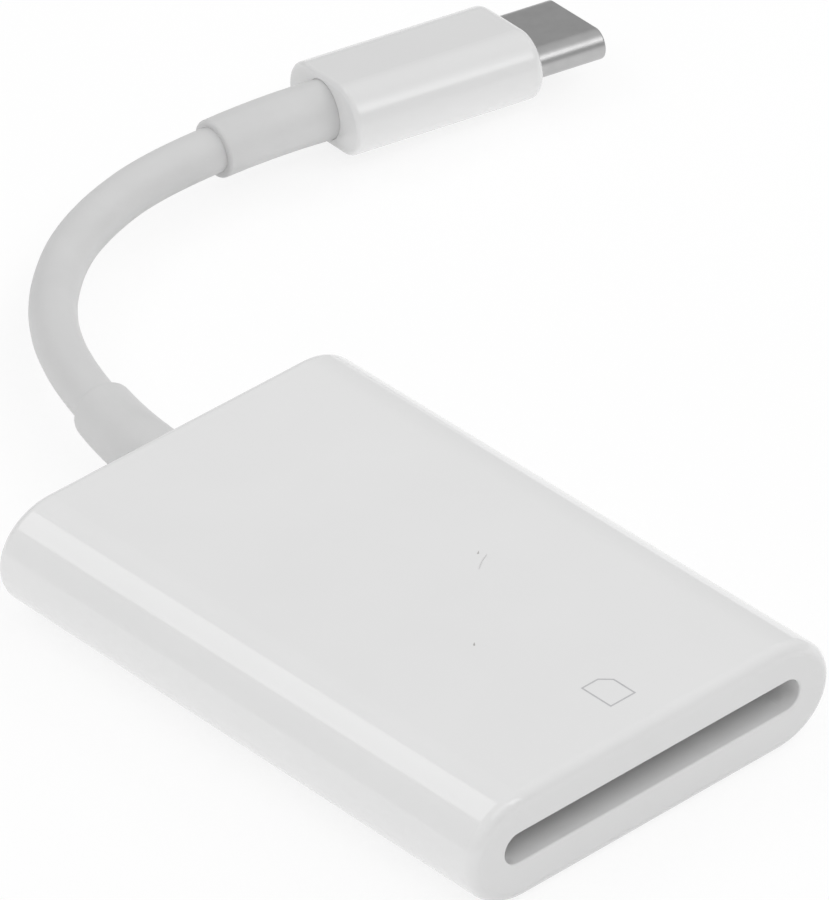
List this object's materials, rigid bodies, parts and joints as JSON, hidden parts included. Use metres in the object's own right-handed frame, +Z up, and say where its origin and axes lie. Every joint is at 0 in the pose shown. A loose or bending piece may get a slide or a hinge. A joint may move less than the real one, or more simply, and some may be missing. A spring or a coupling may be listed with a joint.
{
  "type": "usb memory card reader",
  "caption": "Slim white card reader with rounded sides, a card slot in its front face and a short fixed cable that ends in a usb-c plug.",
  "frame": {"origin": "middle of the housing's flat underside", "axes": "+X across the housing, +Y along it from the card slot to the cable, +Z up"},
  "size_m": [0.0746, 0.0787, 0.0081],
  "materials": {
    "white_shell": "gloss white moulding",
    "white_plug": "gloss white moulding",
    "white_jacket": "satin white elastomer",
    "socket_grey": "satin grey",
    "plug_steel": "satin drawn steel",
    "sheet_steel": "bright sheet",
    "contact_gold": "gold plated",
    "dark_moulding": "matte black",
    "board_green": "satin green lacquer",
    "capacitor_tan": "matte tan",
    "core_moulding": "matte natural white",
    "wire_red": "satin red",
    "wire_black": "satin black",
    "wire_green": "satin green",
    "wire_white": "satin white"
  },
  "bodies": {
    "root": {"housing": "white_shell", "rear_cap": "white_shell", "main_board": "board_green", "socket_frame": "socket_grey", "socket_cover": "sheet_steel", "socket_contacts": "contact_gold", "detect_springs": "sheet_steel", "controller_chip": "dark_moulding", "chip_terminals": "sheet_steel", "crystal": "sheet_steel", "regulator": "dark_moulding", "capacitors": "capacitor_tan", "resistors": "dark_moulding", "power_wire": "wire_red", "ground_wire": "wire_black", "data_plus_wire": "wire_green", "data_minus_wire": "wire_white", "cable": "white_jacket", "housing_boot": "white_jacket", "plug_boot": "white_jacket", "plug_cover": "white_plug", "plug_core": "core_moulding", "plug_board": "board_green", "plug_resistor": "dark_moulding", "plug_wires": "wire_white", "plug_shell": "plug_steel", "plug_insulator": "dark_moulding", "plug_contacts_upper": "contact_gold", "plug_contacts_lower": "contact_gold", "plug_latches": "sheet_steel"}
  },
  "joints": []
}
